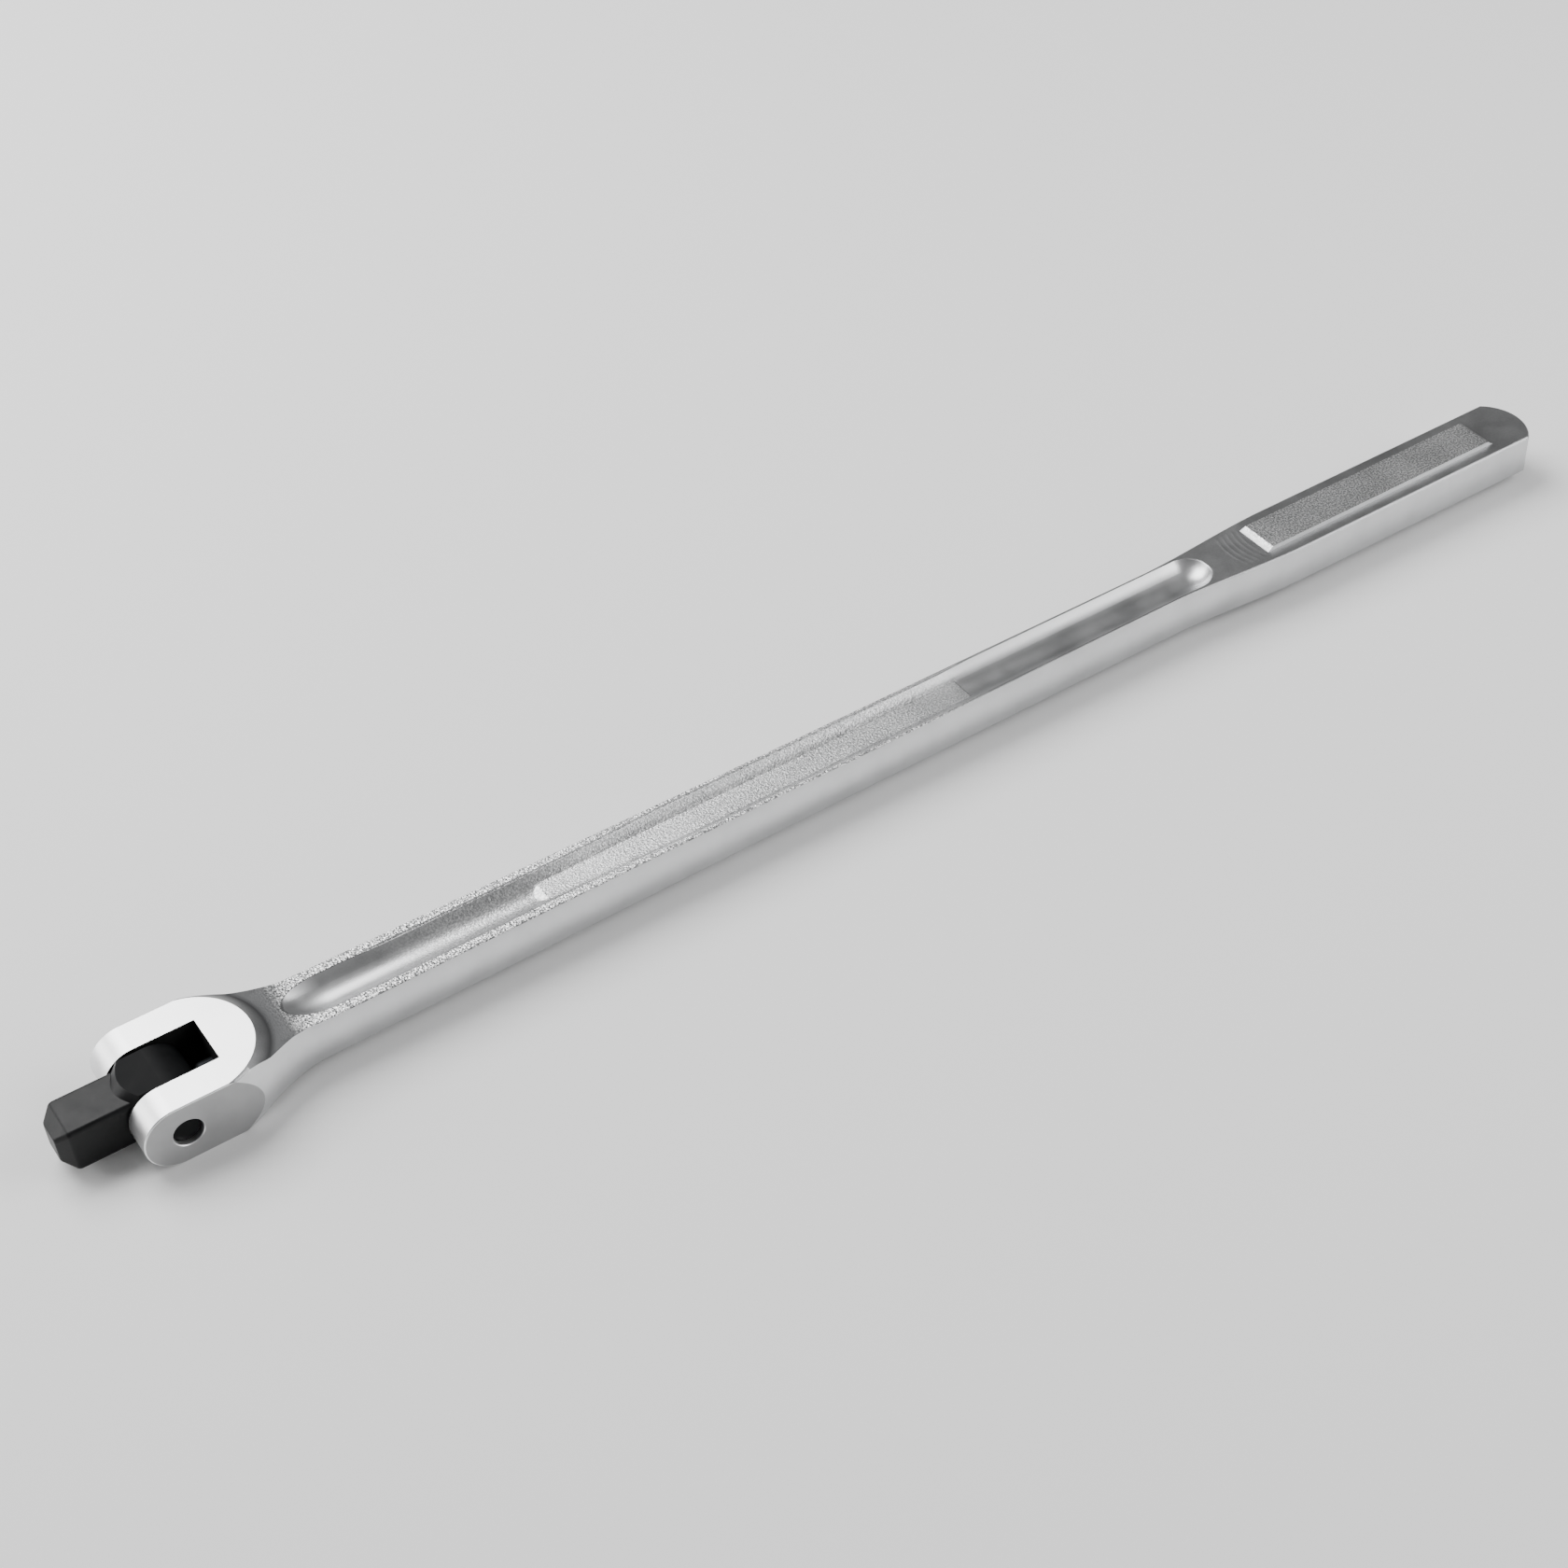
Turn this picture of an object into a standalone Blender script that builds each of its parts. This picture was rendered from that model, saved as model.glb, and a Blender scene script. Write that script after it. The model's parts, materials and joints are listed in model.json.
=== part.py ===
"""Breaker bar with a half-inch square drive on a swivelling head.

One forging makes the fork, the shaft and the grip. A black drive tang swings in the fork on a
cross pin. A sprung plunger in the fork's web rubs on the tang's knuckle and holds its angle, and a
sprung ball in the square holds a socket.

Every shape is drawn about the pin axis: X runs along the bar from the drive square to the grip,
Y along the pin, Z up. The two empties on the pin axis put the tool on the floor, with the origin
under its middle.
"""

from math import asin, cos, pi, radians, sin, sqrt

import bmesh
import bpy
from mathutils import Vector

MM = 0.001

# Whole tool
OVERALL_LENGTH = 457.2 * MM
TANG_REACH = 27.2 * MM  # pin axis to the drive square's end
GRIP_END = OVERALL_LENGTH - TANG_REACH  # pin axis to the grip's end
GAP = 0.3 * MM  # clearance between touching pieces

# Fork
FORK_WIDTH = 32.0 * MM
FORK_THICKNESS = 17.6 * MM
SLOT_WIDTH = 14.4 * MM
SLOT_END = 13.45 * MM
EAR_CENTRE = -2.2 * MM  # centre of the ears' rounded ends
BOSS_CENTRE = 8.2 * MM  # centre of the round shoulder behind the slot
BOSS_RADIUS = 16.2 * MM
SHOULDER_LENGTH = 3.3 * MM
PIN_BORE_RADIUS = 3.82 * MM

# Shaft and grip
NECK_START = 5.0 * MM
NECK_END = 37.0 * MM
NECK_HALF_WIDTH = 18.8 * MM  # the forging before the fork's sides are milled
SHAFT_HALF_WIDTHS = ((40.0 * MM, 8.8 * MM), (160.0 * MM, 7.8 * MM), (298.0 * MM, 7.2 * MM))
GRIP_START = 296.0 * MM
GRIP_FULL = 342.0 * MM
GRIP_HALF_WIDTH = 9.93 * MM
GRIP_END_RADIUS = 12.7 * MM
HALF_THICKNESS = 6.1 * MM
NECK_HALF_THICKNESS = 6.5 * MM
SHAFT_BULGE = 1.2 * MM  # how far the flanks stand out at mid height
GRIP_BULGE = 0.7 * MM
FLANK_STEPS = 8

# Scooped channel in both faces of the shaft, and the flat panel in it
CHANNEL_AXIS_HEIGHT = 10.6 * MM
CHANNEL_HEAD_RADIUS = 7.6 * MM
CHANNEL_GRIP_RADIUS = 8.1 * MM
CHANNEL_HEAD_CENTRE = 43.5 * MM
CHANNEL_HEAD_REACH = 13.6 * MM
CHANNEL_GRIP_CENTRE = 306.8 * MM
PANEL_START = 101.0 * MM
PANEL_END = 231.0 * MM
PANEL_HALF_WIDTH = 4.4 * MM
PANEL_HEIGHT = 3.8 * MM

# Raised pad on both faces of the grip
PAD_START = 330.5 * MM
PAD_END = 414.5 * MM
PAD_HALF_WIDTH = 6.1 * MM
PAD_RISE = 1.1 * MM

# Drive tang
DRIVE_SQUARE = 12.7 * MM
SQUARE_CORNER = 1.15 * MM
TIP_CHAMFER_LENGTH = 3.0 * MM
TIP_CHAMFER_DEPTH = 2.5 * MM
KNUCKLE_RADIUS = 8.3 * MM
KNUCKLE_WIDTH = 13.8 * MM
TANG_CONE_START = -10.9 * MM  # the cone behind the square grows at 45 degrees from here
TANG_CONE_RADIUS = 6.2 * MM
TANG_CONE_REACH = 11.2 * MM  # larger than the tang's corners, so the cone ends in the open
TANG_HALF_THICKNESS = 8.25 * MM

# Pins, plungers and springs
PIN_RADIUS = 3.5 * MM
PIN_LENGTH = 30.0 * MM
PLUNGER_BORE_RADIUS = 2.2 * MM
PLUNGER_BORE_END = 27.5 * MM
PLUNGER_LENGTH = 8.0 * MM
BALL_RADIUS = 2.0 * MM
BALL_X = -19.4 * MM
BALL_STAND_OUT = 0.9 * MM
BALL_BORE_RADIUS = 2.3 * MM
BALL_BORE_TOP = 1.5 * MM
WIRE_RADIUS = 0.28 * MM
COIL_RADIUS = 1.35 * MM
DETENT_COIL_TURNS = 7
BALL_COIL_TURNS = 3
COIL_POINTS_PER_TURN = 10

HALF_SQUARE = DRIVE_SQUARE / 2
HALF_FORK = FORK_THICKNESS / 2


def clear_scene():
    for thing in list(bpy.data.objects):
        bpy.data.objects.remove(thing, do_unlink=True)


def make_collection(name):
    collection = bpy.data.collections.new(name)
    bpy.context.scene.collection.children.link(collection)
    return collection


def make_material(name, colour, roughness, metallic):
    material = bpy.data.materials.new(name)
    material.use_nodes = True
    shader = material.node_tree.nodes["Principled BSDF"]
    shader.inputs["Base Color"].default_value = (*colour, 1.0)
    shader.inputs["Roughness"].default_value = roughness
    shader.inputs["Metallic"].default_value = metallic
    return material


def make_empty(name, location):
    empty = bpy.data.objects.new(name, None)
    empty.location = location
    PARTS.objects.link(empty)
    return empty


def add_object(name, data, parent, collection, location=(0, 0, 0), rotation=(0, 0, 0)):
    thing = bpy.data.objects.new(name, data)
    thing.parent = parent
    thing.location = location
    thing.rotation_euler = rotation
    collection.objects.link(thing)
    if collection is CUTTERS:
        thing.hide_render = True
        thing.display_type = "WIRE"
    return thing


def finish_mesh(name, shape):
    bmesh.ops.recalc_face_normals(shape, faces=shape.faces)
    mesh = bpy.data.meshes.new(name)
    shape.to_mesh(mesh)
    shape.free()
    return mesh


def shade_round(mesh, angle=30.0):
    mesh.shade_smooth()
    mesh.set_sharp_from_angle(angle=radians(angle))


def block_mesh(name, low, high, inset=(0.0, 0.0)):
    """A box between two corners, with its top face drawn in by inset along X and Y."""
    shape = bmesh.new()
    bmesh.ops.create_cube(shape, size=1.0)
    low = Vector(low)
    high = Vector(high)
    middle = (low + high) / 2
    for vert in shape.verts:
        side_x = 1 if vert.co.x > 0 else -1
        side_y = 1 if vert.co.y > 0 else -1
        top = vert.co.z > 0
        vert.co.x = middle.x + side_x * ((high.x - low.x) / 2 - (inset[0] if top else 0.0))
        vert.co.y = middle.y + side_y * ((high.y - low.y) / 2 - (inset[1] if top else 0.0))
        vert.co.z = high.z if top else low.z
    return finish_mesh(name, shape)


def profile_mesh(name, points, closed=False):
    """An outline of (radius, height) points for a Screw modifier, outer side running down."""
    mesh = bpy.data.meshes.new(name)
    count = len(points)
    edges = [(i, i + 1) for i in range(count - 1)]
    if closed:
        edges.append((count - 1, 0))
    mesh.from_pydata([(radius, 0.0, height) for radius, height in points], edges, [])
    return mesh


def add_turned(name, points, parent, collection, location, rotation, steps=32, closed=False):
    """A turned piece: its own Z axis is the axis of rotation."""
    mesh = profile_mesh(name, points, closed)
    thing = add_object(name, mesh, parent, collection, location, rotation)
    screw = thing.modifiers.new("turn", "SCREW")
    screw.axis = "Z"
    screw.steps = steps
    screw.render_steps = steps
    screw.use_merge_vertices = True
    screw.merge_threshold = 0.00001
    screw.use_smooth_shade = not closed
    return thing


def add_boolean(thing, other, operation):
    cut = thing.modifiers.new(other.name, "BOOLEAN")
    cut.operation = operation
    cut.solver = "EXACT"
    cut.object = other


def loft_mesh(name, rings):
    """Quads between rings of equal count, with both ends capped."""
    shape = bmesh.new()
    loops = [[shape.verts.new(point) for point in ring] for ring in rings]
    count = len(loops[0])
    for near, far in zip(loops, loops[1:]):
        for i in range(count):
            j = (i + 1) % count
            shape.faces.new((near[i], near[j], far[j], far[i]))
    shape.faces.new(loops[0])
    shape.faces.new(loops[-1])
    return finish_mesh(name, shape)


def spring_curve(name, start, end, turns):
    """A coil along X from start to end, about the X axis."""
    curve = bpy.data.curves.new(name, "CURVE")
    curve.dimensions = "3D"
    curve.bevel_depth = WIRE_RADIUS
    curve.bevel_resolution = 2
    curve.use_fill_caps = True
    count = turns * COIL_POINTS_PER_TURN + 1
    spline = curve.splines.new("POLY")
    spline.points.add(count - 1)
    first = start + WIRE_RADIUS
    last = end - WIRE_RADIUS
    for i in range(count):
        angle = 2 * pi * i / COIL_POINTS_PER_TURN
        x = first + (last - first) * i / (count - 1)
        spline.points[i].co = (x, COIL_RADIUS * cos(angle), COIL_RADIUS * sin(angle), 1.0)
    return curve


# --- the forging's outline ---


def smooth_step(x, start, end):
    t = min(max((x - start) / (end - start), 0.0), 1.0)
    return t * t * (3.0 - 2.0 * t)


def tapered_half_width(x):
    """The shaft's straight tapers, from the neck to the grip."""
    for (x0, w0), (x1, w1) in zip(SHAFT_HALF_WIDTHS, SHAFT_HALF_WIDTHS[1:]):
        if x <= x1:
            return w0 + (w1 - w0) * max(x - x0, 0.0) / (x1 - x0)
    return SHAFT_HALF_WIDTHS[-1][1]


def handle_half_width(x):
    """Half the width across the forging's edges, before the fork's sides are milled."""
    shaft = tapered_half_width(x)
    neck = (NECK_HALF_WIDTH - shaft) * (1.0 - smooth_step(x, NECK_START, NECK_END))
    grip = (GRIP_HALF_WIDTH - shaft) * smooth_step(x, GRIP_START, GRIP_FULL)
    end_centre = GRIP_END - GRIP_END_RADIUS
    if x > end_centre:
        round_end = sqrt(max(GRIP_END_RADIUS**2 - (x - end_centre) ** 2, 0.0))
        return min(shaft + grip, round_end)
    return shaft + neck + grip


def handle_half_thickness(x):
    if x < EAR_CENTRE:
        return sqrt(HALF_FORK**2 - (x - EAR_CENTRE) ** 2)
    if x < BOSS_CENTRE + BOSS_RADIUS + SHOULDER_LENGTH:
        return HALF_FORK
    drop = smooth_step(x, NECK_END - 7 * MM, NECK_END + 23 * MM)
    return NECK_HALF_THICKNESS + (HALF_THICKNESS - NECK_HALF_THICKNESS) * drop


def flank_bulge(x):
    return SHAFT_BULGE + (GRIP_BULGE - SHAFT_BULGE) * smooth_step(x, GRIP_START, GRIP_FULL)


def handle_section(x):
    """The cross-section at x: down the far flank, then up the near one."""
    edge = handle_half_width(x)
    height = handle_half_thickness(x)
    bulge = flank_bulge(x)
    flank = []
    for step in range(FLANK_STEPS + 1):
        z = height * (1.0 - 2.0 * step / FLANK_STEPS)
        flank.append((edge + bulge * (1.0 - (z / HALF_THICKNESS) ** 2), z))
    return [(x, y, z) for y, z in flank] + [(x, -y, -z) for y, z in flank]


def handle_stations():
    """Places along X where the section is drawn, close together where it changes fast."""
    end_centre = GRIP_END - GRIP_END_RADIUS
    ear = [EAR_CENTRE - HALF_FORK * cos(radians(a)) for a in (8, 20, 32, 45, 58, 70, 80, 90)]
    boss_end = BOSS_CENTRE + BOSS_RADIUS + SHOULDER_LENGTH
    fork = [5 * MM + i * (boss_end - 5 * MM) / 14 for i in range(14)]
    neck = [boss_end - 0.01 * MM, boss_end + 0.6 * MM]
    neck += [boss_end + i * 2.5 * MM for i in range(1, 6)]
    shaft = [60 * MM, 110 * MM, 160 * MM, 230 * MM, GRIP_START]
    grip = [GRIP_START + (GRIP_FULL - GRIP_START) * i / 12 for i in range(1, 13)]
    corner = asin(GRIP_HALF_WIDTH / GRIP_END_RADIUS)
    last = 0.07
    arc = [corner + (last - corner) * i / 7 for i in range(8)]
    return ear + fork + neck + shaft + grip + [end_centre + GRIP_END_RADIUS * cos(a) for a in arc]


def build_handle(parent, material):
    """The forging, with its milled fork, shoulder, channels, panels, pads and bores."""
    rings = [handle_section(x) for x in handle_stations()]
    mesh = loft_mesh("forged_handle", rings)
    handle = add_object("forged_handle", mesh, parent, PARTS)
    mesh.materials.append(material)

    shoulder = (
        (BOSS_RADIUS, HALF_FORK + 1.0 * MM),
        (BOSS_RADIUS + 35.0 * MM, HALF_FORK + 1.0 * MM),
        (BOSS_RADIUS + 35.0 * MM, NECK_HALF_THICKNESS + 0.01 * MM),
        (BOSS_RADIUS + SHOULDER_LENGTH, NECK_HALF_THICKNESS + 0.01 * MM),
        (BOSS_RADIUS, HALF_FORK - 0.01 * MM),
    )
    keep = block_mesh("ear_side", (-60 * MM, -60 * MM, -20 * MM), (BOSS_CENTRE, 60 * MM, 20 * MM))
    keep_ears = add_object("ear_side", keep, parent, CUTTERS)
    reach = PANEL_HEIGHT - 1.5 * MM
    for side, turn in (("top", 0.0), ("bottom", pi)):
        cutter = add_turned(
            "shoulder_" + side, shoulder, parent, CUTTERS,
            (BOSS_CENTRE, 0, 0), (turn, 0, 0), steps=64, closed=True,
        )
        add_boolean(cutter, keep_ears, "DIFFERENCE")
        add_boolean(handle, cutter, "DIFFERENCE")

        up = 1 if side == "top" else -1
        channel = add_turned(
            "channel_" + side, channel_outline(), parent, CUTTERS,
            (0, 0, up * CHANNEL_AXIS_HEIGHT), (0, pi / 2, 0), steps=40,
        )
        add_boolean(handle, channel, "DIFFERENCE")

        panel = block_mesh(
            "panel_" + side,
            (PANEL_START, -PANEL_HALF_WIDTH, reach),
            (PANEL_END, PANEL_HALF_WIDTH, PANEL_HEIGHT),
            inset=(2.0 * MM, 0.0),
        )
        rise = add_object("panel_" + side, panel, parent, CUTTERS, rotation=(turn, 0, 0))
        add_boolean(handle, rise, "UNION")

        pad = block_mesh(
            "pad_" + side,
            (PAD_START, -PAD_HALF_WIDTH, HALF_THICKNESS),
            (PAD_END, PAD_HALF_WIDTH, HALF_THICKNESS + PAD_RISE),
            inset=(2.0 * MM, 0.35 * MM),
        )
        for vert in pad.vertices:
            if vert.co.z < HALF_THICKNESS + PAD_RISE / 2:
                vert.co.z -= 1.0 * MM
        rise = add_object("pad_" + side, pad, parent, CUTTERS, rotation=(turn, 0, 0))
        add_boolean(handle, rise, "UNION")

    for side, turn in (("far", 0.0), ("near", pi)):
        low = (-40 * MM, FORK_WIDTH / 2, -20 * MM)
        high = (60 * MM, 60 * MM, 20 * MM)
        mill = block_mesh("mill_" + side, low, high)
        waste = add_object("mill_" + side, mill, parent, CUTTERS, rotation=(turn, 0, 0))
        add_boolean(handle, waste, "DIFFERENCE")

    slot = block_mesh(
        "slot",
        (-40 * MM, -SLOT_WIDTH / 2, -20 * MM),
        (SLOT_END, SLOT_WIDTH / 2, 20 * MM),
    )
    add_boolean(handle, add_object("slot", slot, parent, CUTTERS), "DIFFERENCE")
    add_boolean(handle, add_pin_bore("fork_pin_bore", parent), "DIFFERENCE")
    bore = ((0, 8 * MM), (PLUNGER_BORE_RADIUS, 8 * MM), (PLUNGER_BORE_RADIUS, -8 * MM), (0, -8 * MM))
    centre = PLUNGER_BORE_END - 8 * MM
    plunger_bore = add_turned(
        "plunger_bore", bore, parent, CUTTERS, (centre, 0, 0), (0, pi / 2, 0), steps=20
    )
    add_boolean(handle, plunger_bore, "DIFFERENCE")
    return handle


def channel_outline():
    """The channel cutter's half outline: two rounded ends and a slightly conical middle."""
    steps = 8
    points = []
    for i in range(steps):
        angle = pi / 2 * i / steps
        x = CHANNEL_GRIP_CENTRE + CHANNEL_GRIP_RADIUS * cos(angle)
        points.append((CHANNEL_GRIP_RADIUS * sin(angle), x))
    for i in range(steps + 1):
        angle = pi / 2 * (1 + i / steps)
        x = CHANNEL_HEAD_CENTRE + CHANNEL_HEAD_REACH * cos(angle)
        points.append((CHANNEL_HEAD_RADIUS * max(sin(angle), 0.0), x))
    points.insert(steps, (CHANNEL_GRIP_RADIUS, CHANNEL_GRIP_CENTRE))
    points[-1] = (0.0, points[-1][1])
    return points


def add_pin_bore(name, parent):
    half = 25 * MM
    outline = ((0, half), (PIN_BORE_RADIUS, half), (PIN_BORE_RADIUS, -half), (0, -half))
    return add_turned(name, outline, parent, CUTTERS, (0, 0, 0), (pi / 2, 0, 0), steps=32)


def rounded_square(x, half, radius, corner_steps=3):
    ring = []
    for corner in range(4):
        middle = pi / 4 + corner * pi / 2
        centre_y = (half - radius) * (1 if cos(middle) > 0 else -1)
        centre_z = (half - radius) * (1 if sin(middle) > 0 else -1)
        for step in range(corner_steps + 1):
            angle = corner * pi / 2 + pi / 2 * step / corner_steps
            ring.append((x, centre_y + radius * cos(angle), centre_z + radius * sin(angle)))
    return ring


def build_tang(parent, material):
    """The square, the shoulder that a cone shapes behind it and the knuckle, as one forging."""
    tip = -TANG_REACH
    rings = [
        rounded_square(tip, HALF_SQUARE - TIP_CHAMFER_DEPTH, SQUARE_CORNER * 0.9),
        rounded_square(tip + TIP_CHAMFER_LENGTH, HALF_SQUARE, SQUARE_CORNER),
        rounded_square(-2.0 * MM, HALF_SQUARE, SQUARE_CORNER),
    ]
    mesh = loft_mesh("drive_tang", rings)
    mesh.materials.append(material)
    tang = add_object("drive_tang", mesh, parent, PARTS)

    chamfer = 0.5 * MM
    half = KNUCKLE_WIDTH / 2
    rim = (
        (0, half),
        (KNUCKLE_RADIUS - chamfer, half),
        (KNUCKLE_RADIUS, half - chamfer),
        (KNUCKLE_RADIUS, chamfer - half),
        (KNUCKLE_RADIUS - chamfer, -half),
        (0, -half),
    )
    knuckle = add_turned("knuckle", rim, parent, CUTTERS, (0, 0, 0), (pi / 2, 0, 0), steps=48)

    cone_end = TANG_CONE_START + TANG_CONE_REACH - TANG_CONE_RADIUS
    cone = ((0, -GAP), (TANG_CONE_REACH, -GAP), (TANG_CONE_REACH, cone_end))
    cone += ((TANG_CONE_RADIUS, TANG_CONE_START), (0, TANG_CONE_START))
    shoulder = add_turned("shoulder", cone, parent, CUTTERS, (0, 0, 0), (0, pi / 2, 0), steps=48)
    low = (-30 * MM, -half, -TANG_HALF_THICKNESS)
    high = (20 * MM, half, TANG_HALF_THICKNESS)
    block = add_object("shoulder_block", block_mesh("shoulder_block", low, high), parent, CUTTERS)
    add_boolean(shoulder, block, "INTERSECT")

    ball_bore = ((0, BALL_BORE_TOP), (BALL_BORE_RADIUS, BALL_BORE_TOP))
    ball_bore += ((BALL_BORE_RADIUS, -12 * MM), (0, -12 * MM))
    pocket = add_turned("ball_bore", ball_bore, parent, CUTTERS, (BALL_X, 0, 0), (0, 0, 0), steps=20)
    add_boolean(tang, shoulder, "UNION")
    add_boolean(tang, knuckle, "UNION")
    add_boolean(tang, add_pin_bore("tang_pin_bore", parent), "DIFFERENCE")
    add_boolean(tang, pocket, "DIFFERENCE")
    return tang


def build_pin(parent, material):
    chamfer = 0.4 * MM
    half = PIN_LENGTH / 2
    outline = (
        (0, half),
        (PIN_RADIUS - chamfer, half),
        (PIN_RADIUS, half - chamfer),
        (PIN_RADIUS, chamfer - half),
        (PIN_RADIUS - chamfer, -half),
        (0, -half),
    )
    pin = add_turned("hinge_pin", outline, parent, PARTS, (0, 0, 0), (pi / 2, 0, 0), steps=32)
    pin.data.materials.append(material)


def build_detent(parent, steel):
    """The plunger that presses on the knuckle, and its spring, in the bore of the fork's web."""
    radius = PLUNGER_BORE_RADIUS - GAP
    nose_steps = 5
    angles = [pi / 2 * i / nose_steps for i in range(nose_steps + 1)]
    outline = [(radius * sin(a), radius * cos(a)) for a in angles]
    outline += [(radius, radius - PLUNGER_LENGTH), (0, radius - PLUNGER_LENGTH)]
    nose_x = KNUCKLE_RADIUS + GAP
    place = (nose_x + radius, 0, 0)
    plunger = add_turned(
        "head_detent_plunger", outline, parent, PARTS, place, (0, -pi / 2, 0), steps=20
    )
    plunger.data.materials.append(steel)

    start = nose_x + PLUNGER_LENGTH + GAP
    end = PLUNGER_BORE_END - GAP
    curve = spring_curve("head_detent_spring", start, end, DETENT_COIL_TURNS)
    curve.materials.append(steel)
    add_object("head_detent_spring", curve, parent, PARTS)


def build_socket_ball(parent, steel):
    """The ball that stands out of the square's lower face, and its spring above it."""
    centre_z = -HALF_SQUARE - BALL_STAND_OUT + BALL_RADIUS
    shape = bmesh.new()
    bmesh.ops.create_uvsphere(shape, u_segments=20, v_segments=12, radius=BALL_RADIUS)
    mesh = finish_mesh("socket_retaining_ball", shape)
    mesh.materials.append(steel)
    shade_round(mesh)
    add_object("socket_retaining_ball", mesh, parent, PARTS, (BALL_X, 0, centre_z))

    low = centre_z + BALL_RADIUS + GAP
    length = BALL_BORE_TOP - GAP - low
    curve = spring_curve("socket_ball_spring", 0.0, length, BALL_COIL_TURNS)
    curve.materials.append(steel)
    add_object("socket_ball_spring", curve, parent, PARTS, (BALL_X, 0, low + length), (0, pi / 2, 0))


clear_scene()
PARTS = make_collection("breaker_bar")
CUTTERS = make_collection("cutters")

chrome = make_material("satin_chrome", (0.62, 0.63, 0.64), 0.32, 1.0)
black_oxide = make_material("black_oxide", (0.02, 0.02, 0.022), 0.45, 0.9)
bright_steel = make_material("bright_steel", (0.55, 0.55, 0.56), 0.3, 1.0)

pin_place = (TANG_REACH - OVERALL_LENGTH / 2, 0, HALF_FORK)
handle_root = make_empty("handle_frame", pin_place)
head_root = make_empty("head_swing_axis", pin_place)

build_handle(handle_root, chrome)
build_pin(handle_root, black_oxide)
build_detent(handle_root, bright_steel)
build_tang(head_root, black_oxide)
build_socket_ball(head_root, bright_steel)
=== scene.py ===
"""The breaker bar's looks: a finely shaped forging, head, pin, plunger, ball and springs, with
procedural metal finishes, a pale floor and soft studio light.

Shapes are worked out in millimetres about the hinge pin's axis (X along the bar towards the grip,
Y along the pin, Z up), and place() carries them into the frame's metres.
"""

import json
from math import atan, cos, pi, radians, sin, sqrt

import bmesh
import bpy
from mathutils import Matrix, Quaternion, Vector


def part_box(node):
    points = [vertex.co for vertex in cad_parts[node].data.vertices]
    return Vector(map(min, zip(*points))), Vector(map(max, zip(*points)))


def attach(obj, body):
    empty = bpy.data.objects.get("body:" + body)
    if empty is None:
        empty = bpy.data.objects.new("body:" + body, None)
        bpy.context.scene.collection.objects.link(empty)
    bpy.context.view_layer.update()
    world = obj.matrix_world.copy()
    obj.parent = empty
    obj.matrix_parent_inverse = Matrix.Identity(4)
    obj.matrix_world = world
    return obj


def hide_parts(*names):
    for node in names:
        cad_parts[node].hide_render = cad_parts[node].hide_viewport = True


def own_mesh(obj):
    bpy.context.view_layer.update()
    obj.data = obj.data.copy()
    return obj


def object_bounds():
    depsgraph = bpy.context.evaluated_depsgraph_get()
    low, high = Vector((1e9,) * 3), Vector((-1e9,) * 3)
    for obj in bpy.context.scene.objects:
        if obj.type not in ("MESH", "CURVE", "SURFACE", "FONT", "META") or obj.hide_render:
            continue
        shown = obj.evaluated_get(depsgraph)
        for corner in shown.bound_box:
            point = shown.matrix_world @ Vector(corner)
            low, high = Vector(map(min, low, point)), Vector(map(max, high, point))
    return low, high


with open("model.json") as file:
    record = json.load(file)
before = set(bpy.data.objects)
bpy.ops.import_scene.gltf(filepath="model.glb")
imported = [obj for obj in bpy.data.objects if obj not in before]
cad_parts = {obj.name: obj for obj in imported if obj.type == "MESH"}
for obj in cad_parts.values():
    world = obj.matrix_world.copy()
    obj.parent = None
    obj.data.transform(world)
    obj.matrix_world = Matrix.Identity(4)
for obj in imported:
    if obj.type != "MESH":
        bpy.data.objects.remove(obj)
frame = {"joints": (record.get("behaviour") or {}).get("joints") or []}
CAD_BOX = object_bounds()

MM = 0.001
JOINTS = {joint["name"]: joint for joint in frame["joints"]}
PIN = Vector(JOINTS["head_swing"]["pos_m"])


def cad_box(node):
    """A CAD node's lowest and highest corner, in millimetres from the pin's axis."""
    low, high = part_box(node)
    return (low - PIN) / MM, (high - PIN) / MM


HANDLE_LOW, HANDLE_HIGH = cad_box("forged_handle")
TANG_LOW, TANG_HIGH = cad_box("drive_tang")
PIN_HIGH = cad_box("hinge_pin")[1]
PLUNGER_LOW, PLUNGER_HIGH = cad_box("head_detent_plunger")
DETENT_SPRING_LOW, DETENT_SPRING_HIGH = cad_box("head_detent_spring")
BALL_LOW, BALL_HIGH = cad_box("socket_retaining_ball")
BALL_SPRING_LOW, BALL_SPRING_HIGH = cad_box("socket_ball_spring")

# Fork
HALF_FORK_WIDTH = HANDLE_HIGH.y
HALF_FORK = HANDLE_HIGH.z
SLOT_WIDTH = 14.4
SLOT_END = 13.45
EAR_CENTRE = HANDLE_LOW.x + HALF_FORK
RIM_ROUND = 0.35
BOSS_CENTRE = 8.2
BOSS_RADIUS = 16.2
BOSS_FOOT = 19.7
BOSS_FOOT_ROUND = 0.9
MILLED_FLOOR = 6.6
MILLED_END = 31.0
PIN_BORE_RADIUS = 3.82
PIN_BORE_CHAMFER = 0.2
PLUNGER_BORE_RADIUS = 2.2
PLUNGER_BORE_START = 13.0
PLUNGER_BORE_END = 27.5
PLUNGER_BORE_TIP = 0.9

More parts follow.
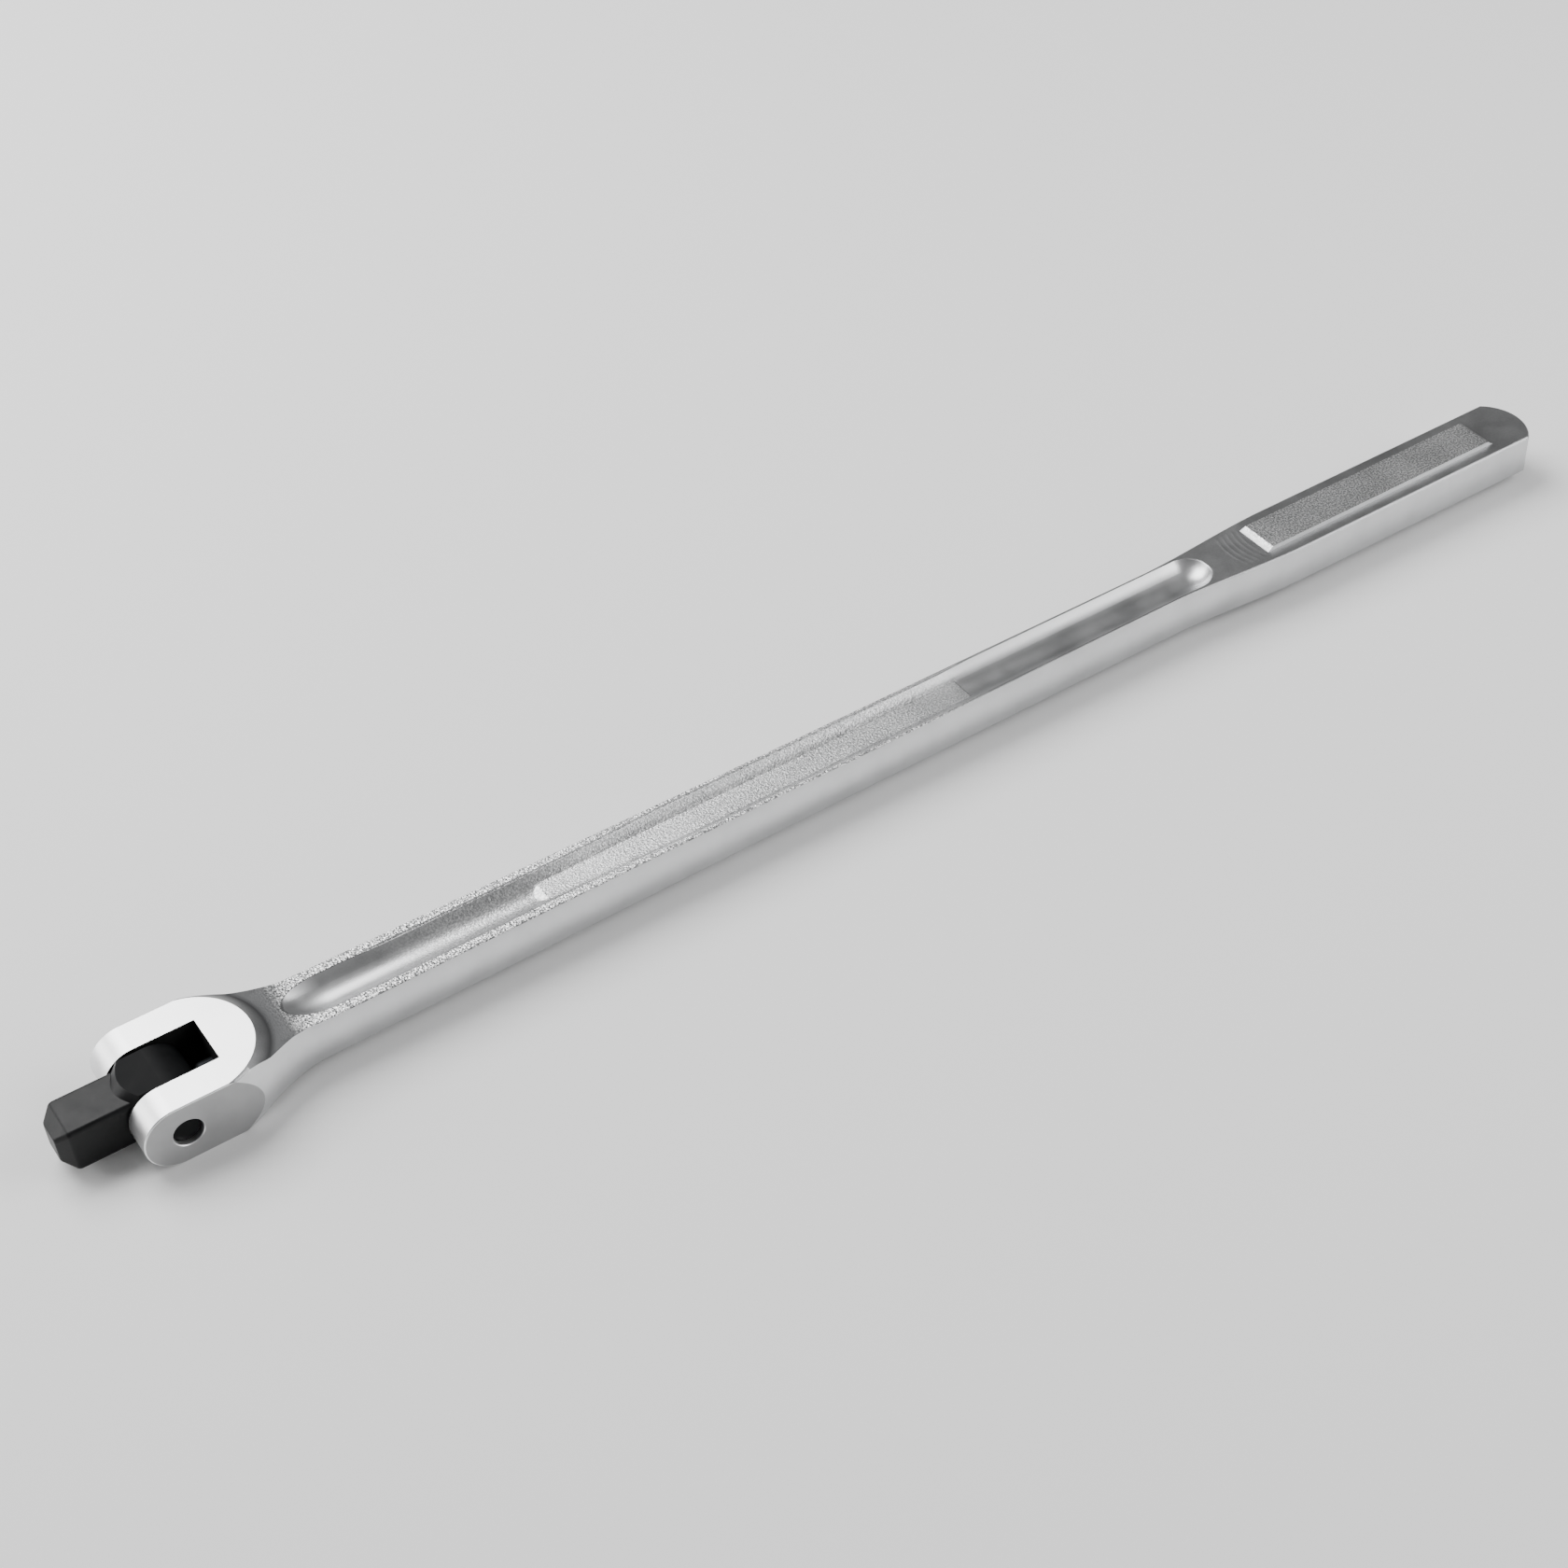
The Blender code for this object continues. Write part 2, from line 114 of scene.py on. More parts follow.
# Shaft and grip
NECK_START = 5.0
NECK_END = 37.0
NECK_HALF_WIDTH = 18.8
NECK_STOCK = 0.6
NECK_STOCK_END = 24.0
NECK_RISE = 0.071
NECK_CURVE = 0.0443
NECK_THIN_START = 0.5
NECK_THIN_END = 45.0
SHAFT_HALF_WIDTHS = ((40.0, 8.8), (160.0, 7.8), (298.0, 7.2))
GRIP_START = 296.0
GRIP_FULL = 342.0
GRIP_LEVEL_END = 424.0
GRIP_HALF_WIDTH = 9.93
GRIP_END = HANDLE_HIGH.x
GRIP_END_RADIUS = 12.7
GRIP_END_ROUND = 0.8
HALF_THICKNESS = 6.1
SHAFT_BULGE = 1.3
GRIP_BULGE = 0.7
EDGE_ROUNDS = ((31.0, 0.08), (46.0, 0.45), (230.0, 0.45), (300.0, 0.6), (345.0, 1.0))

# Channel and its panel
CHANNEL_HALF_WIDTHS = ((40.0, 6.1), (112.0, 5.75), (145.0, 6.65), (200.0, 6.75), (300.0, 6.6))
CHANNEL_DEPTH = 3.15
CHANNEL_HEAD_CENTRE = 44.0
CHANNEL_HEAD_REACH = 14.3
CHANNEL_GRIP_CENTRE = 306.8
CHANNEL_GRIP_REACH = 8.6
LIP_ROUND = 0.12
LIP_REACH = 0.8
LEDGE_WIDTH = 0.22
LEDGE_DEPTH = 0.38
LEDGE_FADE_IN = (50.0, 62.0)
LEDGE_FADE_OUT = (222.0, 240.0)
PANEL_START = 100.6
PANEL_END = 231.2
PANEL_DEPTH = 2.35
PANEL_START_RAMP = 2.2
PANEL_END_RAMP = 0.7
PANEL_FOOT_DEPTH = 0.05
PANEL_FOOT_ROUND = 0.08

# Grip pad
PAD_START = 330.4
PAD_END = 414.6
PAD_RAMP = 1.8
PAD_FOOT = 6.05
PAD_TOP = 5.75
PAD_RISE = 1.1
RIPPLES = (321.6, 323.4, 325.1, 326.9, 328.6)
RIPPLE_RISE = 0.035
RIPPLE_HALF_LENGTH = 0.6
RIPPLE_BOW = 0.03
RIPPLE_FADE_ACROSS = (6.2, 7.6)

# Grain, and dullness with painted shade, both from 0 to 1. An IN or OUT pair says where along
# the bar one fades in or out, THINS where the grain thins, BAND at which heights and WALL how far
# from the middle. PANEL_GRAIN has the share that fades out with the rest and the share that stays.
# The dullness also darkens the chrome: on the neck as a dull finish, and in the channel and on the
# rims and flats towards the grip as painted shade.
UPWARD = 0.45
FACE_DEPTH = 4.2
FACE_MARGIN = 0.1
LIP_MARGIN = 0.05
GRAIN_IN = (MILLED_END - 5.0, 35.0)
GRAIN_OUT = (205.0, 240.0)
GRAIN_THINNING = 0.3
GRAIN_THINS = (60.0, 110.0)
CHANNEL_GRAIN = 0.3
CHANNEL_GRAIN_IN = (50.0, 85.0)
PANEL_GRAIN = (0.25, 0.15)
PANEL_GRAIN_HALF_WIDTH = 4.3
FLATS_GRAIN = 0.05
PAD_GRAIN = 0.4
MATTE_NECK_BOTTOM = MILLED_FLOOR - 0.5
MATTE_NECK_OUT = (MILLED_END - 1.0, 38.0)
MATTE_BAND = (MILLED_FLOOR + 0.3, HALF_FORK - 0.2)
MATTE_BAND_LOSS = 0.45
MATTE_SHADE_WALL = (2.5, 5.0)
MATTE_SHADE_BEFORE_PANEL = 0.2
MATTE_SHADE_BEFORE_PANEL_WALL = 0.4
MATTE_SHADE_BEFORE_PANEL_OUT = (95.0, 120.0)
# Painted shade: the channel's floor after the panel and the grip's flats are darkened.
MATTE_SHADE_AFTER_PANEL = 0.45
MATTE_SHADE_AFTER_PANEL_WALL = -0.25
MATTE_SHADE_AFTER_PANEL_IN = (228.0, 236.0)
MATTE_SHADE_AFTER_PANEL_OUT = (300.0, 306.0)
MATTE_SHADE_FLATS = 0.5
MATTE_SHADE_FLATS_IN = (205.0, 245.0)

# Head
HALF_SQUARE = 6.35
SQUARE_CORNER = 1.15
KNUCKLE_RADIUS = TANG_HIGH.z
KNUCKLE_HALF = TANG_HIGH.y
CONE_START = -10.9
CONE_RADIUS = 6.2
CONE_REACH = 11.2
POCKET_RADIUS = 2.3

# Springs
WIRE_RADIUS = 0.28
COIL_RADIUS = 1.35
END_TURNS = 0.75
END_PITCH = 1.6
END_MARGIN = 0.01
POINTS_PER_TURN = 28
WIRE_SIDES = 12

# Mesh care: WELD and ON_MILL in millimetres, the others in metres and square metres
WELD = 0.004
ON_MILL = 0.01
ON_FLAT = 1e-5
LARGE_FLAT = 5e-6
FLAT_RING = 0.00012

# Stage: the floor's half size in metres, the gap under the fork and the camera's points in
# millimetres, and each softbox's direction, distance and size in metres, and power in watts
FLOOR_HALF_SIZE = 30.0
FLOOR_GAP = 0.05
WORLD_GREY = 0.9
WORLD_STRENGTH = 0.2
CAMERA_PLACE = (-85.7, -434.8, 469.0)
CAMERA_TARGET = (174.3, 0.8, 0.0)
CAMERA_ROLL = -3.83
CAMERA_SENSOR = 36.0
CAMERA_LENS = 61.7
SOFTBOXES = (
    ("back_left_softbox", (-0.2, 0.58, 0.82), 1.3, (0.95, 0.9), 23.0),
    ("left_softbox", (-0.82, 0.55, 0.3), 1.2, (0.7, 0.6), 7.0),
    ("front_right_softbox", (0.74, -0.45, 0.56), 1.3, (0.8, 0.8), 11.0),
    ("front_low_softbox", (0.3, -0.95, 0.26), 1.5, (2.0, 0.4), 5.0),
)


# --- small helpers ---


def place(point):
    return PIN + Vector(point) * MM


def smooth_step(x, start, end):
    t = min(max((x - start) / (end - start), 0.0), 1.0)
    return t * t * (3.0 - 2.0 * t)


def between(x, knots):
    """A smooth curve through (position, value) knots, level at every knot."""
    if x <= knots[0][0]:
        return knots[0][1]
    for (x0, v0), (x1, v1) in zip(knots, knots[1:]):
        if x <= x1:
            return v0 + (v1 - v0) * smooth_step(x, x0, x1)
    return knots[-1][1]


def steps(start, end, count):
    """count values after start, up to and with end."""
    return [start + (end - start) * i / count for i in range(1, count + 1)]


def mesh_from_rings(name, rings, merge=False):
    """Quads between closed rings of equal count. merge joins points that fall together."""
    shape = bmesh.new()
    loops = [[shape.verts.new(place(p)) for p in ring] for ring in rings]
    count = len(loops[0])
    for near, far in zip(loops, loops[1:]):
        for i in range(count):
            j = (i + 1) % count
            shape.faces.new((near[i], near[j], far[j], far[i]))
    shape.faces.new(loops[0])
    shape.faces.new(loops[-1])
    if merge:
        bmesh.ops.remove_doubles(shape, verts=shape.verts, dist=1e-7)
    bmesh.ops.recalc_face_normals(shape, faces=shape.faces)
    mesh = bpy.data.meshes.new(name)
    shape.to_mesh(mesh)
    shape.free()
    return mesh


def make_object(name, mesh, *materials):
    thing = bpy.data.objects.new(name, mesh)
    bpy.context.scene.collection.objects.link(thing)
    for material in materials:
        mesh.materials.append(material)
    return thing


def turned(name, outline, centre, axis, count=96):
    """A solid of revolution. outline is (along the axis, radius) points from end to end."""
    axis = Vector(axis).normalized()
    across = axis.orthogonal().normalized() if abs(axis.z) < 0.9 else Vector((1, 0, 0))
    third = axis.cross(across)
    rings = []
    for along, radius in outline:
        ring = []
        for i in range(count):
            angle = 2 * pi * i / count
            spoke = across * cos(angle) + third * sin(angle)
            ring.append(Vector(centre) + axis * along + spoke * radius)
        rings.append(ring)
    return mesh_from_rings(name, rings, merge=True)


def cut(thing, mesh, material, operation="DIFFERENCE"):
    """Cuts, joins or keeps the common part at once. The cutter's faces bring their material."""
    cutter = make_object("cutter", mesh, *([material] if material else []))
    modifier = thing.modifiers.new("cut", "BOOLEAN")
    modifier.operation = operation
    modifier.solver = "EXACT"
    modifier.material_mode = "TRANSFER"
    modifier.object = cutter
    apply_modifiers(thing)
    bpy.data.objects.remove(cutter)
    bpy.data.meshes.remove(mesh)


def apply_modifiers(thing):
    depsgraph = bpy.context.evaluated_depsgraph_get()
    mesh = bpy.data.meshes.new_from_object(thing.evaluated_get(depsgraph))
    thing.modifiers.clear()
    old = thing.data
    thing.data = mesh
    bpy.data.meshes.remove(old)
    mesh.name = thing.name


def weld(thing):
    """Joins the corners that a boolean leaves side by side."""
    shape = bmesh.new()
    shape.from_mesh(thing.data)
    bmesh.ops.remove_doubles(shape, verts=shape.verts, dist=WELD * MM)
    bmesh.ops.dissolve_degenerate(shape, edges=shape.edges, dist=WELD * MM)
    shape.to_mesh(thing.data)
    shape.free()


def finish_shading(thing, angle=32.0):
    """Smooth shading with crisp edges, weighted so that level faces stay level. The milled flats
    are shaded flat."""
    mesh = thing.data
    for polygon in mesh.polygons:
        polygon.use_smooth = not lies_on_mill(mesh, polygon)
    mesh.set_sharp_from_angle(angle=radians(angle))
    weighted = thing.modifiers.new("weighted", "WEIGHTED_NORMAL")
    weighted.keep_sharp = True
    weighted.weight = 80


def lies_on_mill(mesh, polygon):
    """True for a face in the plane of the fork's milled top, underside or sides."""
    corners = [(mesh.vertices[i].co - PIN) / MM for i in polygon.vertices]
    on_top = all(abs(abs(p.z) - HALF_FORK) < ON_MILL for p in corners)
    return on_top or all(abs(abs(p.y) - HALF_FORK_WIDTH) < ON_MILL for p in corners)


# --- materials ---


class Nodes:
    """Adds shader nodes with their settings and links in one call."""

    def __init__(self, name):
        self.material = bpy.data.materials.new(name)
        self.material.use_nodes = True
        self.tree = self.material.node_tree
        self.shader = self.tree.nodes["Principled BSDF"]
        self.position = self.add("ShaderNodeTexCoord").outputs["Object"]

    def add(self, kind, inputs=None, **settings):
        node = self.tree.nodes.new(kind)
        for key, value in settings.items():
            setattr(node, key, value)
        for key, value in (inputs or {}).items():
            self.set(node.inputs[key], value)
        return node

    def set(self, socket, value):
        if isinstance(value, bpy.types.NodeSocket):
            self.tree.links.new(value, socket)
        else:
            socket.default_value = value

    def noise(self, scale, detail=3.0, rough=0.5, stretch=None):
        position = self.position
        if stretch:
            mapping = self.add("ShaderNodeMapping", {"Vector": position, "Scale": stretch})
            position = mapping.outputs["Vector"]
        inputs = {"Vector": position, "Scale": scale, "Detail": detail, "Roughness": rough}
        return self.add("ShaderNodeTexNoise", inputs).outputs["Fac"]

    def grains(self, scale):
        inputs = {"Vector": self.position, "Scale": scale}
        return self.add("ShaderNodeTexVoronoi", inputs).outputs["Distance"]

    def ramp(self, value, low, high, low_at=0.0, high_at=1.0):
        """Maps value from low_at..high_at to low..high, held at both ends."""
        inputs = {
            "Value": value,
            "From Min": low_at,
            "From Max": high_at,
            "To Min": low,
            "To Max": high,
        }
        return self.add("ShaderNodeMapRange", inputs).outputs["Result"]

    def math(self, operation, a, b=0.0):
        node = self.add("ShaderNodeMath", {0: a, 1: b}, operation=operation)
        return node.outputs[0]

    def mix(self, factor, a, b):
        node = self.add("ShaderNodeMix", data_type="RGBA")
        self.set(node.inputs["Factor"], factor)
        self.set(node.inputs["A"], a)
        self.set(node.inputs["B"], b)
        return node.outputs["Result"]

    def bump(self, height, distance, strength=1.0, normal=None):
        inputs = {"Height": height, "Distance": distance, "Strength": strength}
        if normal:
            inputs["Normal"] = normal
        return self.add("ShaderNodeBump", inputs).outputs["Normal"]

    def edge_wear_and_highlight(self, reach=0.0003):
        """1 on the edges, falling to 0 within reach of them. The materials paint these edges
        lighter, as wear and as painted edge highlight.
        """
        rounded = self.add("ShaderNodeBevel", {"Radius": reach}, samples=6).outputs["Normal"]
        true = self.add("ShaderNodeNewGeometry").outputs["True Normal"]
        likeness = self.add("ShaderNodeVectorMath", {0: rounded, 1: true}, operation="DOT_PRODUCT")
        return self.ramp(likeness.outputs["Value"], 1.0, 0.0, 0.75, 0.995)

    def finish(self, **sockets):
        names = {
            "colour": "Base Color",
            "metallic": "Metallic",
            "roughness": "Roughness",
            "normal": "Normal",
            "specular": "Specular IOR Level",
        }
        for key, value in sockets.items():
            self.set(self.shader.inputs[names[key]], value)
        return self.material


def grey(value, tint=0.0):
    return (value, value + tint * 0.4, value + tint, 1.0)


def forged_chrome():
    """Satin chrome over a forging: smooth, with sparkling grain where the mesh is marked grain,
    and darker and rougher where it's marked dull: a dull finish on the neck, and painted shade in
    the channel and on the rims and flats towards the grip."""
    n = Nodes("forged_chrome")
    grain = n.add("ShaderNodeAttribute", attribute_name="grain").outputs["Fac"]
    matte_and_shade = n.add("ShaderNodeAttribute", attribute_name="matte_and_shade").outputs["Fac"]
    cells = n.grains(1900.0)
    specks = n.noise(2000.0, 1.0, 0.5)
    coarse = n.noise(1200.0, 3.0, 0.7)
    streaks = n.noise(55.0, 3.0, 0.6, stretch=(0.25, 1.0, 1.0))
    clouds = n.noise(90.0, 4.0, 0.6)
    grain_height = n.math("MULTIPLY", n.math("ADD", cells, coarse), grain)
    normal = n.bump(grain_height, 0.00014)
    normal = n.bump(n.noise(500.0, 4.0, 0.6), 0.000012, normal=normal)
    normal = n.bump(streaks, 0.00006, normal=normal)
    smooth = n.mix(n.ramp(clouds, 0.0, 1.0, 0.35, 0.65), grey(0.62, 0.012), grey(0.70, 0.012))
    smooth = n.mix(n.ramp(streaks, 0.0, 0.3, 0.4, 0.7), smooth, grey(0.5, 0.012))
    sparkle = n.mix(n.ramp(specks, 0.0, 1.0, 0.43, 0.58), grey(0.16, 0.005), grey(0.95))
    base = n.mix(n.ramp(grain, 0.0, 1.0, 0.0, 0.8), smooth, sparkle)
    # Darkens the faces marked dull: a dull finish on the neck, painted shade in the channel and
    # towards the grip.
    base = n.mix(matte_and_shade, base, n.mix(clouds, grey(0.065, 0.002), grey(0.095, 0.003)))
    satin = n.ramp(clouds, 0.33, 0.41, 0.3, 0.7)
    rough = n.math("ADD", satin, n.math("MULTIPLY", grain, 0.1))
    rough = n.math("ADD", rough, n.math("MULTIPLY", n.math("POWER", matte_and_shade, 3.0), 0.22))
    return n.finish(colour=base, metallic=1.0, roughness=rough, normal=normal)


def milled_chrome(name, value, low_rough):
    """Fine-ground satin chrome on the fork."""
    n = Nodes(name)
    lines = n.noise(900.0, 2.0, 0.5, stretch=(0.08, 1.0, 1.0))
    clouds = n.noise(140.0, 4.0, 0.6)
    fine = n.noise(1500.0, 2.0, 0.5)
    blotch = n.ramp(clouds, 0.0, 1.0, 0.35, 0.65)
    base = n.mix(blotch, grey(value, 0.006), grey(value * 1.12, 0.006))
    # Edges painted lighter: wear and painted edge highlight.
    base = n.mix(n.edge_wear_and_highlight(), base, grey(0.85))
    normal = n.bump(lines, 0.000004)
    normal = n.bump(fine, 0.000006, normal=normal)
    rough = n.ramp(clouds, low_rough, low_rough + 0.08, 0.3, 0.7)
    return n.finish(colour=base, metallic=1.0, roughness=rough, normal=normal)


def slot_steel():
    """The fork's slot and blind bore: near-black machined steel."""
    n = Nodes("slot_steel")
    lines = n.noise(900.0, 3.0, 0.6, stretch=(1.0, 1.0, 0.1))
    base = n.mix(n.ramp(lines, 0.0, 1.0, 0.3, 0.7), grey(0.006), grey(0.014))
    normal = n.bump(lines, 0.00001)
    rough = n.ramp(n.noise(300.0), 0.45, 0.6, 0.3, 0.7)
    return n.finish(colour=base, metallic=0.0, specular=0.15, roughness=rough, normal=normal)


def black_oxide(name, value, low_rough, specular):
    """Black oxide on the forged head and the pin, rubbed a little at the edges: the edges are
    painted lighter, as wear and as painted edge highlight.
    """
    n = Nodes(name)
    clouds = n.noise(220.0, 5.0, 0.65)
    fine = n.noise(1800.0, 3.0, 0.6)
    patches = n.ramp(clouds, 0.0, 1.0, 0.3, 0.7)
    base = n.mix(patches, grey(value, 0.0005), grey(value * 1.8, 0.001))
    # Edges painted lighter: wear and painted edge highlight.
    base = n.mix(n.math("MULTIPLY", n.edge_wear_and_highlight(), 0.5), base, grey(value * 5.0, 0.002))
    normal = n.bump(fine, 0.000018)
    normal = n.bump(clouds, 0.00003, normal=normal)
    rough = n.ramp(clouds, low_rough, low_rough + 0.12, 0.3, 0.7)
    return n.finish(colour=base, metallic=0.0, specular=specular, roughness=rough, normal=normal)


def bright_steel(name, value, low_rough):
    """Hardened steel of the ball, the springs and the plunger, which is painted nearly black as
    shade.
    """
    n = Nodes(name)
    clouds = n.noise(500.0, 4.0, 0.6)
    patches = n.ramp(clouds, 0.0, 1.0, 0.3, 0.7)
    base = n.mix(patches, grey(value, 0.004), grey(value * 1.2, 0.004))
    # Edges painted lighter: wear and painted edge highlight.
    base = n.mix(n.edge_wear_and_highlight(), base, grey(min(value * 1.6, 0.9)))
    normal = n.bump(n.noise(2500.0, 2.0), 0.000004)
    rough = n.ramp(clouds, low_rough, low_rough + 0.1, 0.3, 0.7)
    return n.finish(colour=base, metallic=1.0, roughness=rough, normal=normal)


# --- the forging ---


def half_width(x):
    """Half the width between the forging's upper edges."""
    shaft = SHAFT_HALF_WIDTHS[-1][1]
    for (x0, w0), (x1, w1) in zip(SHAFT_HALF_WIDTHS, SHAFT_HALF_WIDTHS[1:]):
        if x <= x1:
            shaft = w0 + (w1 - w0) * max(x - x0, 0.0) / (x1 - x0)
            break
    neck = (NECK_HALF_WIDTH - shaft) * (1.0 - smooth_step(x, NECK_START, NECK_END))
    grip = (GRIP_HALF_WIDTH - shaft) * smooth_step(x, GRIP_START, GRIP_FULL)
    return shaft + neck + grip


def half_thickness(x):
    """Half the forging's thickness. Towards the fork it stands above what the mill leaves."""
    if x < NECK_STOCK_END:
        return HALF_FORK + NECK_STOCK
    if x < MILLED_END:
        short = MILLED_END - x
        return MILLED_FLOOR + NECK_RISE * short + NECK_CURVE * short**2
    if x < NECK_THIN_END:
        share = (NECK_THIN_END - x) / (NECK_THIN_END - MILLED_END)
        return HALF_THICKNESS + NECK_THIN_START * share**2
    return HALF_THICKNESS


def channel_at(x):
    """The channel's radius and the height of its axis above the rim at x, or None outside it."""
    width = between(x, CHANNEL_HALF_WIDTHS)
    radius = (width**2 + CHANNEL_DEPTH**2) / (2 * CHANNEL_DEPTH)
    rise = radius - CHANNEL_DEPTH
    if x < CHANNEL_HEAD_CENTRE:
        radius *= sqrt(max(1.0 - ((CHANNEL_HEAD_CENTRE - x) / CHANNEL_HEAD_REACH) ** 2, 0.0))
    if x > CHANNEL_GRIP_CENTRE:
        radius *= sqrt(max(1.0 - ((x - CHANNEL_GRIP_CENTRE) / CHANNEL_GRIP_REACH) ** 2, 0.0))
    return (radius, rise) if radius > rise else None


def lip_at(x):
    """Half the channel's width at the rim."""
    found = channel_at(x)
    return sqrt(found[0] ** 2 - found[1] ** 2) if found else 0.0


def soft_min(a, b, blend):
    """The lower of two heights, rounded where they meet."""
    gap = max(blend - abs(a - b), 0.0) / blend
    return min(a, b) - gap * gap * blend * 0.25


def pad_share(x, y):
    """How much of the pad's rise there is at a point, from 0 to 1."""
    along = min((x - PAD_START) / PAD_RAMP, (PAD_END - x) / PAD_RAMP, 1.0)
    across = min((PAD_FOOT - abs(y)) / (PAD_FOOT - PAD_TOP), 1.0)
    return max(min(along, across), 0.0)


def top_height(x, y):
    """The upper face of the forging, with channel, panel, ripples and pad."""
    rim = half_thickness(x)
    height = rim
    found = channel_at(x)
    if found and abs(y) < min(found[0], lip_at(x) + LIP_REACH):
        radius, rise = found
        floor = rim + rise - sqrt(radius**2 - y**2)
        ramp = min((x - PANEL_START) / PANEL_START_RAMP, (PANEL_END - x) / PANEL_END_RAMP)
        if ramp > 0.0:
            step = CHANNEL_DEPTH - PANEL_DEPTH + PANEL_FOOT_DEPTH
            panel = rim - CHANNEL_DEPTH - PANEL_FOOT_DEPTH + step * min(ramp, 1.0)
            floor = -soft_min(-floor, -panel, PANEL_FOOT_ROUND)
        height = soft_min(rim, floor, LIP_ROUND * 2)
        ledge = LEDGE_DEPTH * smooth_step(x, *LEDGE_FADE_IN)
        ledge *= 1.0 - smooth_step(x, *LEDGE_FADE_OUT)
        if abs(y) < lip_at(x) + LEDGE_WIDTH:
            height = min(height, rim - ledge)
    across = 1.0 - smooth_step(abs(y), *RIPPLE_FADE_ACROSS)
    for ripple in RIPPLES:
        away = (x - ripple - RIPPLE_BOW * y * y) / RIPPLE_HALF_LENGTH
        height += RIPPLE_RISE * max(1.0 - away * away, 0.0) ** 2 * across
    return height + PAD_RISE * pad_share(x, y)


def knots_across(x):
    """Where two of the section's lines of points run: the first passes from the channel's floor
    to the pad's top, the second from the channel's lip to the pad's foot."""
    lip = max(lip_at(x), 0.6)
    inner = min(3.7, lip * 0.62)
    share = smooth_step(x, CHANNEL_GRIP_CENTRE + 7.0, PAD_START - 2.0)
    return inner + (PAD_TOP - inner) * share, lip + (PAD_FOOT - lip) * share


def section(x):
    """The closed cross-section at x. One quarter is worked out and mirrored to the others."""
    edge = half_width(x)
    top = half_thickness(x)
    bulge = SHAFT_BULGE + (GRIP_BULGE - SHAFT_BULGE) * smooth_step(x, GRIP_START, GRIP_FULL)

    def flank(z):
        return edge + bulge * (1.0 - (z / HALF_THICKNESS) ** 2)

    edge_round = between(x, EDGE_ROUNDS)
    lean = atan(2.0 * bulge * top / HALF_THICKNESS**2)
    round_z = top - edge_round
    meet_z = round_z + edge_round * sin(lean)
    round_y = flank(meet_z) - edge_round * cos(lean)

    inner, lip = knots_across(x)
    span = min(0.3, (lip - inner) * 0.4)
    inner_start = inner - span * 0.5
    inner_end = inner + span * 0.5
    across = [0.0] + steps(0.0, inner_start, 4) + steps(inner_start, inner_end, 2)
    across += steps(inner_end, lip - span, 6) + steps(lip - span, lip + span, 6)
    across += steps(lip + span, round_y, 4)
    quarter = [(y, top_height(x, y)) for y in across]
    for angle in steps(pi / 2, lean, 4):
        quarter.append((round_y + edge_round * cos(angle), round_z + edge_round * sin(angle)))
    for z in steps(meet_z, 0.0, 8):
        quarter.append((flank(z), z))
    far_under = [(y, -z) for y, z in reversed(quarter[:-1])]
    near_under = [(-y, -z) for y, z in quarter[1:]]
    near_top = [(-y, z) for y, z in reversed(quarter[1:-1])]
    return [(x, y, z) for y, z in quarter + far_under + near_under + near_top]


def stations():
    """Places along the bar for the cross-sections, close together where the shape changes."""
    places = steps(-13.0, 22.0, 28) + steps(22.0, 30.8, 18) + [30.98, 31.02]
    places += steps(31.2, 46.0, 60) + steps(46.0, 60.0, 14) + steps(60.0, 100.4, 16)
    places += steps(100.4, 103.4, 24) + steps(103.4, 230.2, 50) + steps(230.2, 231.6, 20)
    places += steps(231.6, 296.0, 24) + steps(296.0, 306.6, 12) + steps(306.6, 312.6, 24)
    places += steps(312.6, 313.8, 14) + steps(313.8, 320.6, 9) + steps(320.6, 330.2, 60)
    places += steps(330.2, 333.0, 16) + steps(333.0, 345.0, 12) + steps(345.0, 412.2, 24)
    places += steps(412.2, 415.0, 14) + steps(415.0, GRIP_LEVEL_END, 6)
    places += steps(GRIP_LEVEL_END, GRIP_END + 3.0, 6)
    return places


def build_forging(forged, milled, side, dark):
    """Cross-sections joined along the bar, then cut to shape as the real one is machined."""
    rings = [section(x) for x in stations()]
    handle = make_object("handle_forging", mesh_from_rings("handle_forging", rings), forged)
    cut(handle, grip_end_mesh(), forged, "INTERSECT")
    cut(handle, envelope_mesh(), milled, "INTERSECT")
    for up in (1, -1):
        cut(handle, shoulder_mesh(up), forged)
    cut(handle, slot_mesh(), dark)
    cut(handle, pin_bore_mesh(), milled)
    bore = [(PLUNGER_BORE_START, 0.0), (PLUNGER_BORE_START, PLUNGER_BORE_RADIUS)]
    bore += [(PLUNGER_BORE_END, PLUNGER_BORE_RADIUS), (PLUNGER_BORE_END + PLUNGER_BORE_TIP, 0.0)]
    cut(handle, turned("bore", bore, (0, 0, 0), (1, 0, 0), 48), dark)
    ring_flats(handle.data)
    # The flat sides get a darker copy of the milled chrome: painted shade, as they have the top's
    # finish.
    handle.data.materials.append(side)
    for polygon in handle.data.polygons:
        faces_aside = abs(polygon.normal.y) > 0.7
        if faces_aside and lies_on_mill(handle.data, polygon):
            polygon.material_index = len(handle.data.materials) - 1
    mark_surface(handle)
    finish_shading(handle)
    return handle


def faces_on(shape, axis, level):
    """The faces that lie in one level plane. The plane is in millimetres from the pin's axis."""
    at = level * MM + PIN[axis]
    return [f for f in shape.faces if all(abs(v.co[axis] - at) < ON_FLAT for v in f.verts)]


